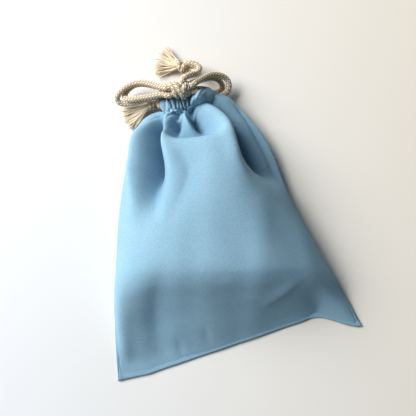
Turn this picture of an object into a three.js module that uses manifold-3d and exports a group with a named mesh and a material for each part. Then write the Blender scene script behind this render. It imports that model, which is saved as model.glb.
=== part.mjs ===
// A drawstring gift pouch, filled and lying on its back, tied shut with a bow. Units are millimetres.
// +X is across the pouch, +Y runs from the bottom seam to the mouth, +Z is up from the table.
// The origin is on the table, under the middle of the pouch.
import * as THREE from "three";
import { ParametricGeometry } from "three/addons/geometries/ParametricGeometry.js";
import { mergeGeometries, mergeVertices } from "three/addons/utils/BufferGeometryUtils.js";
import Module from "manifold-3d";

const wasm = await Module();
wasm.setup();

// Driving dimensions.
const POUCH_WIDTH = 200; // across the bottom corners, lying
const BODY_LENGTH = 197; // bottom seam to the casing's stitch line, lying
const FILL_HEIGHT = 50; // top of the filled belly above the table
const CLOTH = 0.6; // thickness of the woven cotton
const GAP = 0.3; // air left between pieces that touch
const BOTTOM_BOW = 11; // how far the middle of the bottom seam is drawn in
const SIDE_BULGE = 9.5; // how far the sides swell past a straight taper
const CORNER_HEIGHT = 1.5; // height of the seam line at the bottom corners
const SIDE_SEAM_HEIGHT = 10; // height of the side seams at the belly
const ALLOWANCE_WIDTH = 8; // turned-in seam allowance
const ALLOWANCE_THICKNESS = 1.2; // two layers of cloth

const CORD_DIAMETER = 4.8;
const CORD_SIDES = 10;
const CORD_CLEARANCE = 0.4; // slack between a cord and the casing's wall
const CASING_LENGTH = 11.3; // tunnel for the cords, along Y
const NECK_STRAIGHT = 19.6; // straight part of the cinched neck's loop
const NECK_BEND_RADIUS = 6.2; // radius of the cords where the neck's loop turns back
const NECK_HEIGHT = 11.5; // centre of the neck above the table
const SLIT_WIDTH = 7; // opening in the casing that the cords come out of
const CORD_SETBACK = 1.5; // the cord inside ends this far in from the slit, where the lead takes over
const RIGHT_SLIT_TURN = THREE.MathUtils.degToRad(50); // right slit, past the top of the bend

// The bow is laid out from the edge of the mouth: y is 0 there.
const KNOT_RADII = new THREE.Vector3(9.5, 7, 6);
const END_KNOT_RADIUS = 5.4;
const UPPER_END_KNOT = new THREE.Vector3(5.3, 27.3, 5.6);
const LOWER_END_KNOT = new THREE.Vector3(-24.9, 2.1, 5.6);
const TASSEL_THICKNESS = 4.1;
const TASSEL_LIFT = 0.3; // underside of a tassel above the table
const STITCH_THREAD = 0.5;

// Sizes that follow from them.
const TUNNEL_THICKNESS = CORD_DIAMETER + 2 * CORD_CLEARANCE + 2 * CLOTH;
const NECK_HALF_WIDTH = NECK_STRAIGHT / 2 + NECK_BEND_RADIUS + TUNNEL_THICKNESS / 2;
const NECK_HALF_HEIGHT = NECK_BEND_RADIUS + TUNNEL_THICKNESS / 2;
const CASING_START = BODY_LENGTH + GAP;
const CASING_MIDDLE = CASING_START + CASING_LENGTH / 2;
const MOUTH_EDGE = CASING_START + CASING_LENGTH;
const KNOT_CENTRE = new THREE.Vector3(0.5, 1.9, NECK_HEIGHT + NECK_HALF_HEIGHT + 5.9);
const CORD_SPREAD = (CORD_DIAMETER + 0.2) / 2; // the two cords lie side by side in the tunnel
const NECK_PERIMETER = 2 * NECK_STRAIGHT + 2 * Math.PI * NECK_BEND_RADIUS;
const QUARTER_BEND = (Math.PI / 2) * NECK_BEND_RADIUS;
const RIGHT_SLIT = QUARTER_BEND + NECK_STRAIGHT + RIGHT_SLIT_TURN * NECK_BEND_RADIUS;

// Materials.
const cotton = new THREE.MeshStandardMaterial({ color: 0x7fa6c4, roughness: 0.9, metalness: 0 });
const thread = new THREE.MeshStandardMaterial({ color: 0x6c94b4, roughness: 0.7, metalness: 0 });
const cordCotton = new THREE.MeshStandardMaterial({ color: 0xcbbd9f, roughness: 0.95, metalness: 0 });

// The cloth is laid out from the bottom seam and the bow from the edge of the mouth. Both groups are
// placed so that the origin is under the middle of the pouch without its bow.
const pouch = new THREE.Group();
const body = new THREE.Group();
body.position.y = -MOUTH_EDGE / 2;
const bow = new THREE.Group();
bow.position.y = MOUTH_EDGE / 2;
pouch.add(body, bow);

function addPart(name, geometry, material, parent = body) {
  const mesh = new THREE.Mesh(geometry, material);
  mesh.name = name;
  parent.add(mesh);
}

function smoothstep(from, to, value) {
  return THREE.MathUtils.smoothstep(value, from, to);
}

// Only positions, with shared vertices merged, so that a solid closes.
function welded(geometry) {
  const bare = new THREE.BufferGeometry();
  bare.setAttribute("position", geometry.getAttribute("position"));
  if (geometry.index) bare.setIndex(geometry.index);
  return mergeVertices(bare, 1e-4);
}

function toSolid(geometry) {
  const closed = welded(geometry);
  return new wasm.Manifold(
    new wasm.Mesh({
      numProp: 3,
      vertProperties: new Float32Array(closed.attributes.position.array),
      triVerts: new Uint32Array(closed.index.array),
    }),
  );
}

// Several closed geometries joined into one.
function joined(...geometries) {
  const solids = geometries.map(toSolid);
  const solid = solids.reduce((whole, next) => whole.add(next));
  const mesh = solid.getMesh();
  const geometry = new THREE.BufferGeometry();
  geometry.setAttribute("position", new THREE.BufferAttribute(mesh.vertProperties, 3));
  geometry.setIndex(new THREE.BufferAttribute(mesh.triVerts, 1));
  geometry.computeVertexNormals();
  return geometry;
}

// --- The cloth body -------------------------------------------------------------------------

// The height of the belly from the bottom seam to the neck, as shares of the fill height.
const bellyCurve = new THREE.SplineCurve([
  new THREE.Vector2(0, 0.05),
  new THREE.Vector2(0.04, 0.13),
  new THREE.Vector2(0.12, 0.38),
  new THREE.Vector2(0.24, 0.74),
  new THREE.Vector2(0.36, 0.94),
  new THREE.Vector2(0.5, 1),
  new THREE.Vector2(0.64, 0.98),
  new THREE.Vector2(0.78, 0.87),
  new THREE.Vector2(0.9, 0.7),
  new THREE.Vector2(0.97, 0.54),
  new THREE.Vector2(1, 0.45),
]);

function bellyHeight(t) {
  const points = bellyCurve.points;
  const last = points.length - 1;
  let i = 0;
  while (i < last - 1 && points[i + 1].x < t) i += 1;
  const local = (t - points[i].x) / (points[i + 1].x - points[i].x);
  const share = bellyCurve.getPoint((i + local) / last).y;
  const swell = FILL_HEIGHT * share;
  const neckTop = NECK_HEIGHT + NECK_HALF_HEIGHT;
  return THREE.MathUtils.lerp(swell, neckTop, smoothstep(0.88, 1, t));
}

function bottomHeight(t) {
  return (NECK_HEIGHT - NECK_HALF_HEIGHT) * smoothstep(0.9, 1, t);
}

function seamHeight(t) {
  const side = THREE.MathUtils.lerp(CORNER_HEIGHT, SIDE_SEAM_HEIGHT, smoothstep(0, 0.45, t));
  return THREE.MathUtils.lerp(side, NECK_HEIGHT, smoothstep(0.7, 1, t));
}

// Half the width: a straight taper that swells at the sides and rounds in at the shoulders.
function halfWidth(t) {
  const shoulder = 0.19 * POUCH_WIDTH;
  const taper = THREE.MathUtils.lerp(POUCH_WIDTH / 2, shoulder, t);
  const swollen = taper + SIDE_BULGE * Math.sin(Math.PI * t ** 2.1);
  const past = Math.max(0, (t - 0.93) / 0.07);
  const round = Math.sqrt(1 - past ** 2.6);
  return NECK_HALF_WIDTH + (swollen - NECK_HALF_WIDTH) * round;
}

function bodyY(across, t) {
  const bow = BOTTOM_BOW * (1 - across ** 2) * (1 - t) ** 3;
  return t * BODY_LENGTH + bow;
}

// A point of the front (side 1) or back (side -1): turn goes from -1 at the left seam to 1 at the
// right, t from 0 at the bottom seam to 1 at the neck.
function bodyPoint(side, turn, t, target) {
  const across = Math.sin((Math.PI / 2) * turn);
  const rise = Math.cos((Math.PI / 2) * turn);
  const seam = seamHeight(t);
  const edge = seam + (side * GAP) / 2;
  const y = bodyY(across, t);
  if (side > 0) {
    const round = rise ** THREE.MathUtils.lerp(1.25, 1, smoothstep(0.85, 1, t));
    return target.set(across * halfWidth(t), y, edge + (bellyHeight(t) - edge) * round);
  }
  const flat = 1 - Math.max(0, 1 - 2.2 * rise) ** 2;
  const drop = THREE.MathUtils.lerp(flat, rise, smoothstep(0.9, 1, t));
  return target.set(across * halfWidth(t), y, edge - (edge - bottomHeight(t)) * drop);
}

// A thin closed solid between two surfaces over the same square of parameters.
function slab(outer, inner, columns, rows) {
  const mix = (u, v, depth, target) => {
    const other = new THREE.Vector3();
    outer(u, v, target);
    inner(u, v, other);
    return target.lerp(other, depth);
  };
  const skin = new ParametricGeometry((u, v, target) => mix(u, v, 0, target), columns, rows);
  const lining = new ParametricGeometry((u, v, target) => mix(1 - u, v, 1, target), columns, rows);
  const rims = [
    new ParametricGeometry((u, v, target) => mix(u, 0, 1 - v, target), columns, 1),
    new ParametricGeometry((u, v, target) => mix(u, 1, v, target), columns, 1),
    new ParametricGeometry((u, v, target) => mix(0, u, v, target), rows, 1),
    new ParametricGeometry((u, v, target) => mix(1, u, 1 - v, target), rows, 1),
  ];
  return welded(mergeGeometries([skin, lining, ...rims]));
}

// The body's surface moved inwards by one thickness of cloth.
function lining(side, turn, t, target) {
  const step = 1e-3;
  const here = new THREE.Vector3();
  const alongTurn = new THREE.Vector3();
  const alongT = new THREE.Vector3();
  const turnAt = THREE.MathUtils.clamp(turn, -1 + step, 1 - step);
  const tAt = THREE.MathUtils.clamp(t, step, 1 - step);
  bodyPoint(side, turnAt, tAt, here);
  bodyPoint(side, turnAt + step, tAt, alongTurn).sub(here);
  bodyPoint(side, turnAt, tAt + step, alongT).sub(here);
  const inward = alongTurn.cross(alongT).normalize().multiplyScalar(-side * CLOTH);
  if (Math.abs(turn) === 1) inward.z = 0;
  inward.y = 0;
  inward.setLength(CLOTH);
  bodyPoint(side, turn, t, target).add(inward);
  const edge = seamHeight(t) + (side * GAP) / 2;
  target.z = side > 0 ? Math.max(target.z, edge) : Math.min(target.z, edge);
  return target;
}

// Rows lie closer together towards the neck, where the shoulders round in.
function panel(side) {
  const turn = (u) => side * (2 * u - 1);
  const along = (v) => 1 - (1 - v) ** 1.5;
  return slab(
    (u, v, target) => bodyPoint(side, turn(u), along(v), target),
    (u, v, target) => lining(side, turn(u), along(v), target),
    28,
    26,
  );
}

// The seam allowance turned to the inside along a side seam.
function sideAllowance(side) {
  const start = 0.1;
  const end = 0.9;
  const point = (u, v, lift, target) => {
    const t = THREE.MathUtils.lerp(start, end, v);
    const inset = CLOTH + 2 * GAP + (side > 0 ? 1 - u : u) * ALLOWANCE_WIDTH;
    return target.set(side * (halfWidth(t) - inset), bodyY(1, t), seamHeight(t) + lift);
  };
  return slab(
    (u, v, target) => point(u, v, ALLOWANCE_THICKNESS / 2, target),
    (u, v, target) => point(u, v, -ALLOWANCE_THICKNESS / 2, target),
    2,
    18,
  );
}

// The seam allowance along the bottom seam, lying on the inside of the back.
function bottomAllowance() {
  const reach = 0.84;
  const setback = 3;
  const point = (u, v, lift, target) => {
    const across = THREE.MathUtils.lerp(-reach, reach, u);
    const y = bodyY(across, 0) + setback + v * ALLOWANCE_WIDTH;
    return target.set((across * POUCH_WIDTH) / 2, y, CLOTH + GAP + lift);
  };
  return slab(
    (u, v, target) => point(u, v, ALLOWANCE_THICKNESS, target),
    (u, v, target) => point(u, v, 0, target),
    20,
    2,
  );
}

// --- The neck: casing, its stitching and the cords inside --------------------------------------

// The flattened loop that the cords follow round the neck, by the distance from its left end.
function neckPoint(distance, outset, y) {
  let left = THREE.MathUtils.euclideanModulo(distance, NECK_PERIMETER);
  const radius = NECK_BEND_RADIUS + outset;
  const half = NECK_STRAIGHT / 2;
  const onBend = (centre, angle) =>
    new THREE.Vector3(centre + radius * Math.cos(angle), y, NECK_HEIGHT + radius * Math.sin(angle));
  if (left < QUARTER_BEND) return onBend(-half, Math.PI - left / NECK_BEND_RADIUS);
  left -= QUARTER_BEND;
  if (left < NECK_STRAIGHT) return new THREE.Vector3(left - half, y, NECK_HEIGHT + radius);
  left -= NECK_STRAIGHT;
  if (left < 2 * QUARTER_BEND) return onBend(half, Math.PI / 2 - left / NECK_BEND_RADIUS);
  left -= 2 * QUARTER_BEND;
  if (left < NECK_STRAIGHT) return new THREE.Vector3(half - left, y, NECK_HEIGHT - radius);
  left -= NECK_STRAIGHT;
  return onBend(-half, -Math.PI / 2 - left / NECK_BEND_RADIUS);
}

class NeckPath extends THREE.Curve {
  constructor(from, to, outset, y) {
    super();
    Object.assign(this, { from, to, outset, y });
  }
  getPoint(t) {
    return neckPoint(THREE.MathUtils.lerp(this.from, this.to, t), this.outset, this.y);
  }
}

function rectangle(width, height) {
  const x = width / 2;
  const y = height / 2;
  return [
    new THREE.Vector2(-x, -y),
    new THREE.Vector2(x, -y),
    new THREE.Vector2(x, y),
    new THREE.Vector2(-x, y),
  ];
}

function tunnel(from, to) {
  const section = new THREE.Shape(rectangle(CASING_LENGTH, TUNNEL_THICKNESS));
  const inside = rectangle(CASING_LENGTH - 2 * CLOTH, TUNNEL_THICKNESS - 2 * CLOTH);
  section.holes.push(new THREE.Path(inside.reverse()));
  return new THREE.ExtrudeGeometry(section, {
    steps: 30,
    extrudePath: new NeckPath(from, to, 0, CASING_MIDDLE),
  });
}

// The row of thread that closes the casing, on the outside of the neck.
function stitchRow(from, to) {
  const section = new THREE.Shape(rectangle(STITCH_THREAD, STITCH_THREAD));
  const outset = TUNNEL_THICKNESS / 2 + GAP + STITCH_THREAD / 2;
  return new THREE.ExtrudeGeometry(section, {
    steps: 30,
    extrudePath: new NeckPath(from, to, outset, CASING_START + STITCH_THREAD),
  });
}

// --- Cords ----------------------------------------------------------------------------------

function cordSection() {
  const points = [];
  for (let i = 0; i < CORD_SIDES; i += 1) {
    const angle = (2 * Math.PI * i) / CORD_SIDES;
    points.push(new THREE.Vector2(Math.cos(angle), Math.sin(angle)).multiplyScalar(CORD_DIAMETER / 2));
  }
  return new THREE.Shape(points);
}

function cordAlong(path, steps) {
  return new THREE.ExtrudeGeometry(cordSection(), { steps, extrudePath: path });
}

function routed(points) {
  const path = new THREE.CatmullRomCurve3(
    points.map(([x, y, z]) => new THREE.Vector3(x, y, z)),
    false,
    "centripetal",
  );
  return cordAlong(path, Math.max(6, Math.round(path.getLength() / 3)));
}

// Routes of the free cord: chosen points, measured from the edge of the mouth, with each loop and each
// tail made of two strands of cord.
const LEFT_LOOP_OUTER = [
  [-9.4, 5.1, 30], [-13, 6.9, 27.3], [-18, 10.9, 23.5], [-23.5, 14.9, 20], [-29, 17.9, 17],
  [-34.5, 18.9, 15], [-40, 18.4, 13.8], [-45, 16.9, 12.6], [-49, 14.9, 11], [-51.5, 11.9, 9.2],
  [-50.5, 8.9, 8], [-46.5, 6.9, 7.6], [-40.5, 5.9, 8.5], [-32.5, 5.4, 11], [-25, 4.9, 14.5],
  [-17.5, 4.9, 17.5], [-12.5, 4.6, 19.4], [-9.4, 3.1, 21],
];
const LEFT_LOOP_INNER = [
  [-8.3, 7.5, 25.3], [-13, 9.2, 22], [-18.5, 11.9, 18.2], [-23.5, 15.4, 14.8], [-29.5, 18.4, 11.8],
  [-35, 19.4, 9.8], [-40, 18.2, 8.4], [-43.8, 15.6, 7.6], [-45.3, 12.4, 8.4], [-43.5, 9.2, 11.2],
  [-39.5, 7.4, 13.6], [-34.5, 6.4, 15.9], [-29, 5.4, 18.2], [-21, 3.9, 21.8], [-13.5, 2.4, 24.6],
  [-10.4, 0.3, 26.2],
];
const RIGHT_LOOP_OUTER = [
  [10.9, 3.6, 30.4], [14.2, 5.9, 26.5], [19, 8.9, 22.5], [24.5, 11.2, 19], [29.5, 11.4, 16],
  [34.5, 9.9, 13], [37.5, 7.4, 11], [38.5, 3.9, 9.7], [37.5, 0.2, 8.8], [34, -2.6, 8.3],
  [29, -3.4, 8.3], [24.5, -1, 9], [20.5, 2.6, 10.5], [15.5, 3.6, 14], [11, 3.4, 18],
  [10.3, 3.3, 18.8],
];
const RIGHT_LOOP_INNER = [
  [10.4, 6.3, 24.9], [13.5, 7.4, 21.3], [18.5, 9.4, 17.3], [24, 10.7, 13.5], [28.5, 10.4, 10.3],
  [31.8, 8.7, 7.3], [33.3, 5.7, 5], [32.8, 2.7, 3.6], [29.8, 0.9, 3], [25.5, 1.2, 2.9],
  [20.5, 3.4, 3.2], [15.5, 4.9, 6], [11, 5.4, 10], [8, 5, 15], [7.5, 4.7, 16.6],
];
const UPPER_TAIL_OUTER = [
  [4.6, 9.2, 31.6], [9, 11, 29.5], [12.6, 12.4, 25.5], [15, 14.8, 19.5], [17.3, 18, 14.5],
  [18.2, 21.4, 11.6], [16.2, 24.6, 10.6], [13.2, 26.4, 10], [10.4, 27.6, 9.4],
];
const UPPER_TAIL_INNER = [
  [3.8, 10.2, 27.6], [7, 12.4, 25], [10.2, 14.2, 20.5], [13, 16.5, 15], [14, 19.4, 9.2],
  [12.7, 21.8, 5.8], [10.3, 23.5, 5.1],
];
const LOWER_TAIL_OUTER = [
  [-3.6, 7.6, 22.4], [-8, 8.8, 16.8], [-13, 9, 12.5], [-17.3, 8, 9.9], [-20.9, 5.7, 8.7],
];
const LOWER_TAIL_INNER = [
  [-0.8, 8, 21.6], [-4.5, 10.4, 16], [-9.5, 11.2, 10.5], [-15, 10.6, 6], [-19, 9.2, 4.2],
  [-21.6, 7.8, 3.3],
];
const LEFT_LEAD_FRONT = [
  [-16.6, -3.2, 13.2], [-18.8, -2.2, 13], [-19.2, 0.4, 13], [-16, 2.9, 13.2], [-11, 2.9, 13.6],
  [-5.5, 2.9, 15], [-1.5, 2.9, 18], [0.5, 2.4, 24],
];
const LEFT_LEAD_BACK = [
  [-16.6, -3.2, 9.8], [-18.6, -2.3, 10.2], [-19, 0.2, 10.8], [-15.8, 2.8, 10.6], [-9, 2.9, 10.8],
  [-3.5, 2.9, 12], [0, 2.9, 16], [1.5, 2.4, 22],
];
const RIGHT_LEAD_FRONT = [
  [14.1, -8.1, 17], [15.8, -7.4, 18.6], [16.6, -5.6, 21.3], [15.2, -3.6, 24], [11.8, -1.8, 25.8],
  [6, -0.1, 27],
];
const RIGHT_LEAD_BACK = [
  [16, -8.1, 14.8], [17.6, -7.4, 16.6], [17.8, -5.2, 19.6], [15.4, -2.4, 22.2], [11.2, -0.8, 24.2],
  [5, 0.4, 26],
];

// A knot as a ball, wider than it is high where it is pressed flat.
function ball(centre, radii, segments) {
  const geometry = new THREE.SphereGeometry(1, segments, segments / 2);
  geometry.scale(radii.x, radii.y, radii.z);
  geometry.translate(centre.x, centre.y, centre.z);
  return geometry;
}

// The frayed end of a tail: a flat fan of yarn that spreads from its end knot.
function fan(centre, length, middleDegrees, spreadDegrees) {
  const rootRadius = END_KNOT_RADIUS + 0.6;
  const middle = THREE.MathUtils.degToRad(middleDegrees);
  const half = THREE.MathUtils.degToRad(spreadDegrees / 2);
  const outline = new THREE.Shape();
  outline.absarc(0, 0, length, middle - half, middle + half, false);
  outline.absarc(0, 0, rootRadius, middle + half, middle - half, true);
  outline.closePath();
  const geometry = new THREE.ExtrudeGeometry(outline, {
    depth: TASSEL_THICKNESS,
    bevelEnabled: false,
    curveSegments: 8,
  });
  geometry.translate(centre.x, centre.y, TASSEL_LIFT);
  return geometry;
}

// --- Assembly ---------------------------------------------------------------------------------

addPart("front_panel", panel(1), cotton);
addPart("back_panel", panel(-1), cotton);
addPart("left_seam_allowance", sideAllowance(-1), cotton);
addPart("right_seam_allowance", sideAllowance(1), cotton);
addPart("bottom_seam_allowance", bottomAllowance(), cotton);

const halfSlit = SLIT_WIDTH / 2;
const backEnd = NECK_PERIMETER - halfSlit;
addPart("front_casing", tunnel(halfSlit, RIGHT_SLIT - halfSlit), cotton);
addPart("back_casing", tunnel(RIGHT_SLIT + halfSlit, backEnd), cotton);
addPart("front_casing_stitching", stitchRow(halfSlit, RIGHT_SLIT - halfSlit), thread);
addPart("back_casing_stitching", stitchRow(RIGHT_SLIT + halfSlit, backEnd), thread);

const leftCord = new NeckPath(halfSlit + CORD_SETBACK, backEnd - CORD_SETBACK, 0, CASING_MIDDLE + CORD_SPREAD);
const rightCordStart = RIGHT_SLIT + halfSlit + CORD_SETBACK;
const rightCordEnd = NECK_PERIMETER + RIGHT_SLIT - halfSlit - CORD_SETBACK;
const rightCord = new NeckPath(rightCordStart, rightCordEnd, 0, CASING_MIDDLE - CORD_SPREAD);
addPart("left_drawcord", cordAlong(leftCord, 30), cordCotton);
addPart("right_drawcord", cordAlong(rightCord, 30), cordCotton);

const leads = [LEFT_LEAD_FRONT, LEFT_LEAD_BACK, RIGHT_LEAD_FRONT, RIGHT_LEAD_BACK].map(routed);
addPart("bow_knot", joined(ball(KNOT_CENTRE, KNOT_RADII, 20), ...leads), cordCotton, bow);
addPart("left_loop", joined(routed(LEFT_LOOP_OUTER), routed(LEFT_LOOP_INNER)), cordCotton, bow);
addPart("right_loop", joined(routed(RIGHT_LOOP_OUTER), routed(RIGHT_LOOP_INNER)), cordCotton, bow);
addPart("upper_tail", joined(routed(UPPER_TAIL_OUTER), routed(UPPER_TAIL_INNER)), cordCotton, bow);
addPart("lower_tail", joined(routed(LOWER_TAIL_OUTER), routed(LOWER_TAIL_INNER)), cordCotton, bow);

const endKnotRadii = new THREE.Vector3().setScalar(END_KNOT_RADIUS);
addPart("upper_end_knot", ball(UPPER_END_KNOT, endKnotRadii, 16), cordCotton, bow);
addPart("lower_end_knot", ball(LOWER_END_KNOT, endKnotRadii, 16), cordCotton, bow);
addPart("upper_tassel", fan(UPPER_END_KNOT, 24.5, 150, 76), cordCotton, bow);
addPart("lower_tassel", fan(LOWER_END_KNOT, 28, 196, 48), cordCotton, bow);

export default pouch;
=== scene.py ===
"""A drawstring gift pouch of blue cotton, filled and lying on its back, tied shut with a bow of
natural cord. Lengths in the functions are millimetres, laid out as the cloth is: x across the pouch,
y from the bottom seam towards the mouth, z up from the table."""
import math

import bpy
import numpy as np
from mathutils import Matrix, Vector


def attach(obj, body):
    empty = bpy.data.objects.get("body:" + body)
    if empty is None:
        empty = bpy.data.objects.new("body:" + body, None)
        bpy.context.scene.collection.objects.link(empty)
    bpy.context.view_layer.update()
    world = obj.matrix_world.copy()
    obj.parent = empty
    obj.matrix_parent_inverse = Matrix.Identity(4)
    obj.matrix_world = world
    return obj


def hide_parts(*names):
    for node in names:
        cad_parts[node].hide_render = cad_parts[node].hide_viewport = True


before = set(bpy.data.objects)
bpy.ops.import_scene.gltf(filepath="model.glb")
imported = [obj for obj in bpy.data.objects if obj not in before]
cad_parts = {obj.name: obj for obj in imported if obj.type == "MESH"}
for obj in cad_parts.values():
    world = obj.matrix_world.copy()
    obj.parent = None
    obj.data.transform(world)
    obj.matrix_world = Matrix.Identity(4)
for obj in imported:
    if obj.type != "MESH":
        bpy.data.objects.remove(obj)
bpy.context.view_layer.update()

BODY_LENGTH = 197.0  # bottom seam to the casing's stitch line
MOUTH_EDGE = 208.6
ORIGIN_Y = MOUTH_EDGE / 2  # the frame's origin is under the middle of the cloth
CORD_DIAMETER = 4.8
NECK_STRAIGHT = 19.6
NECK_BEND = 6.2
NECK_HEIGHT = 11.5
NECK_ROUND = 2 * NECK_STRAIGHT + 2 * math.pi * NECK_BEND
CASING_MIDDLE = 202.95
CASING_HALF = 5.65
SLIT = 7.0
RIGHT_SLIT = math.pi / 2 * NECK_BEND + NECK_STRAIGHT + math.radians(50) * NECK_BEND
KNOT_CENTRE = np.array([0.5, 210.5, 27.0])
UPPER_END = np.array([5.3, 235.9, 5.6])
LOWER_END = np.array([-24.9, 210.7, 5.6])
CLOTH = 0.55
TURN = 2 * math.pi

random = np.random.default_rng(7)


def to_metres(points):
    """Laid-out millimetres as metres in the frame: y less the origin's, then all over 1000."""
    return (np.asarray(points, float) - (0.0, ORIGIN_Y, 0.0)) / 1000


# --- Camera, floor and light ---------------------------------------------------------------------


def look_at(thing, place, target, lean=0.0):
    """Puts a camera or light at place with its axis through target and its up side leaning by an angle."""
    away = Vector(place) - Vector(target)
    turn = away.to_track_quat("Z", "Y").to_matrix() @ Matrix.Rotation(lean, 3, "Z")
    thing.matrix_world = Matrix.Translation(place) @ turn.to_4x4()


camera = bpy.data.objects.new("camera", bpy.data.cameras.new("camera"))
camera.data.sensor_fit = "VERTICAL"
camera.data.angle = math.radians(47.5)
camera.data.clip_start = 0.01
look_at(camera, (0.0004, -0.0017, 0.3839), (0.0004, 0.0150, 0.0), math.radians(-12.7))
bpy.context.collection.objects.link(camera)
bpy.context.scene.camera = camera
bpy.context.scene.view_settings.view_transform = "Standard"


def soft_light(name, place, target, size, power, colour):
    """A rectangular light that faces target."""
    light = bpy.data.lights.new(name, "AREA")
    light.shape = "RECTANGLE"
    light.size, light.size_y = size
    light.energy = power
    light.color = colour
    thing = bpy.data.objects.new(name, light)
    look_at(thing, place, target)
    bpy.context.collection.objects.link(thing)


soft_light("window", (-1.24, 1.16, 1.2), (0, 0.02, 0), (1.5, 1.3), 80.0, (0.98, 0.99, 1.0))
soft_light("room", (-1.3, 0.1, 0.9), (0, 0, 0), (0.9, 0.9), 2.0, (1.0, 1.0, 1.0))

world = bpy.data.worlds.new("studio")
world.use_nodes = True
world.node_tree.nodes["Background"].inputs["Color"].default_value = (0.64, 0.83, 1.0, 1)
world.node_tree.nodes["Background"].inputs["Strength"].default_value = 0.13
bpy.context.scene.world = world


# --- Materials -------------------------------------------------------------------------------------


class Shade:
    """One socket of a material's node tree. Sums and products of it add Math nodes, and
    node() adds any other node."""

    def __init__(self, tree, socket=None):
        self.tree = tree
        self.socket = socket

    def node(self, kind, settings=None, inputs=None, output=0):
        made = self.tree.nodes.new("ShaderNode" + kind)
        for key, value in (settings or {}).items():
            if key == "stops":
                ramp = made.color_ramp
                while len(ramp.elements) < len(value):
                    ramp.elements.new(0.5)
                for stop, (place, colour) in zip(ramp.elements, value):
                    stop.position, stop.color = place, (*colour, 1)
            else:
                setattr(made, key, value)
        for key, value in (inputs or {}).items():
            if isinstance(value, Shade):
                self.tree.links.new(value.socket, made.inputs[key])
            else:
                made.inputs[key].default_value = value
        return Shade(self.tree, made.outputs[output] if made.outputs else None)

    def maths(self, operation, first, second=0.0):
        return self.node("Math", {"operation": operation}, {0: first, 1: second})

    def __add__(self, other):
        return self.maths("ADD", self, other)

    __radd__ = __add__

    def __sub__(self, other):
        return self.maths("SUBTRACT", self, other)

    def __rsub__(self, other):
        return self.maths("SUBTRACT", other, self)

    def __mul__(self, other):
        return self.maths("MULTIPLY", self, other)

    __rmul__ = __mul__

    def sine(self):
        return self.maths("SINE", self)

    def noise(self, where, scale, detail=2.0, rough=0.5):
        inputs = {"Vector": where, "Scale": scale, "Detail": detail, "Roughness": rough}
        return self.node("TexNoise", None, inputs)

    def mixed(self, first, second, factor, blend="MIX"):
        settings = {"data_type": "RGBA", "blend_type": blend}
        return self.node("Mix", settings, {0: factor, 6: first, 7: second}, 2)


def new_material(name):
    """A material and the handle of its empty node tree."""
    material = bpy.data.materials.new(name)
    material.use_nodes = True
    material.node_tree.nodes.clear()
    return material, Shade(material.node_tree)


def finish_material(tree, colour, roughness, height, depth, sheen, tint):
    """A cloth surface: colour, roughness and bump vary, and the sheen is the same all over."""
    normal = tree.node("Bump", None, {"Strength": 1.0, "Distance": depth, "Height": height})
    surface = tree.node(
        "BsdfPrincipled",
        None,
        {
            "Base Color": colour,
            "Roughness": roughness,
            "Normal": normal,
            "Specular IOR Level": 0.25,
            "Sheen Weight": sheen,
            "Sheen Roughness": 0.45,
            "Sheen Tint": (*tint, 1),
        },
    )
    tree.node("OutputMaterial", None, {"Surface": surface})


def cloth_millimetres(tree):
    """The piece's own map of the cloth, whose unit is 100 mm, as two wires in millimetres."""
    place = tree.node("UVMap", {"uv_map": "cloth"})
    split = place.node("SeparateXYZ", None, {0: place})
    across = split * 100.0
    along = Shade(tree.tree, split.socket.node.outputs[1]) * 100.0
    return across, along


def woven_cotton(name, light, dark):
    """Fine twill: diagonal ribs, the yarns that cross them, uneven yarns, a cloudy dye, and painted shade that
    makes the folds darker in their depths."""
    material, tree = new_material(name)
    across, along = cloth_millimetres(tree)
    place = tree.node("TexCoord", output=3)
    cloudy = tree.noise(place, 28.0, 4.0, 0.55)
    slub = tree.noise(place, 1100.0, 4.0, 0.75)
    hollow = tree.node("Attribute", {"attribute_name": "groove"}, None, 2)
    ribs = ((across + along) * (TURN / 0.85)).sine()
    yarns = ((across - along) * (TURN / 0.42)).sine()
    height = ribs * 0.4 + yarns * 0.15 + slub * 2.6
    shade = tree.mixed((*light, 1), (*dark, 1), cloudy * 0.35 + (slub - 0.5) * 2.4 + ribs * 0.1 + 0.2)
    # painted shade: the colour is multiplied towards dark blue by the piece's fold-depth attribute, darkening
    # the folds as if shadowed
    shade = tree.mixed(shade, (0.30, 0.40, 0.50, 1), hollow, "MULTIPLY")
    roughness = 0.78 + slub * 0.14
    finish_material(tree, shade, roughness, height, 0.00012, 0.1, (0.8, 0.88, 1.0))
    return material


def cord_cotton(name, light, dark, depth):
    """Undyed cotton with fine fibres across it, and painted shade that makes it darker in the grooves between
    its yarns.
    """
    material, tree = new_material(name)
    groove = tree.node("Attribute", {"attribute_name": "groove"}, None, 2)
    place = tree.node("TexCoord", output=3)
    fibre = tree.noise(place, 2600.0, 3.0, 0.65)
    patch = tree.noise(place, 160.0, 2.0, 0.5)
    # painted shade: the piece's tone attribute mixes the colour towards the dark brown
    amount = groove * 1.9 + fibre * 0.3 + patch * 0.25 - 0.98
    shade = tree.mixed((*light, 1), (*dark, 1), amount)
    height = fibre - groove * 0.4
    finish_material(tree, shade, 0.8 + fibre * 0.15, height, depth, 0.15, (1.0, 0.95, 0.85))
    return material


def floor_surface():
    """A pale matt table top with faint grain, and painted warm light that makes it warmer to the right."""
    material, tree = new_material("pale_table")
    place = tree.node("TexCoord", output=3)
    grain = tree.noise(place, 6.0, 3.0, 0.5)
    painted_warm_light_and_grain = place.node("SeparateXYZ", None, {0: place}) * 2.6 + 0.42 + grain * 0.1
    # painted light: the ramp runs from cool white on the left to warm beige on the right
    ramp = {"stops": [(0.0, (0.80, 0.805, 0.81)), (1.0, (0.86, 0.785, 0.67))]}
    shade = tree.node("ValToRGB", ramp, {0: painted_warm_light_and_grain})
    roughness = 0.55 + grain * 0.1
    surface = tree.node("BsdfPrincipled", None, {"Base Color": shade, "Roughness": roughness})
    tree.node("OutputMaterial", None, {"Surface": surface})
    return material


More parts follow.
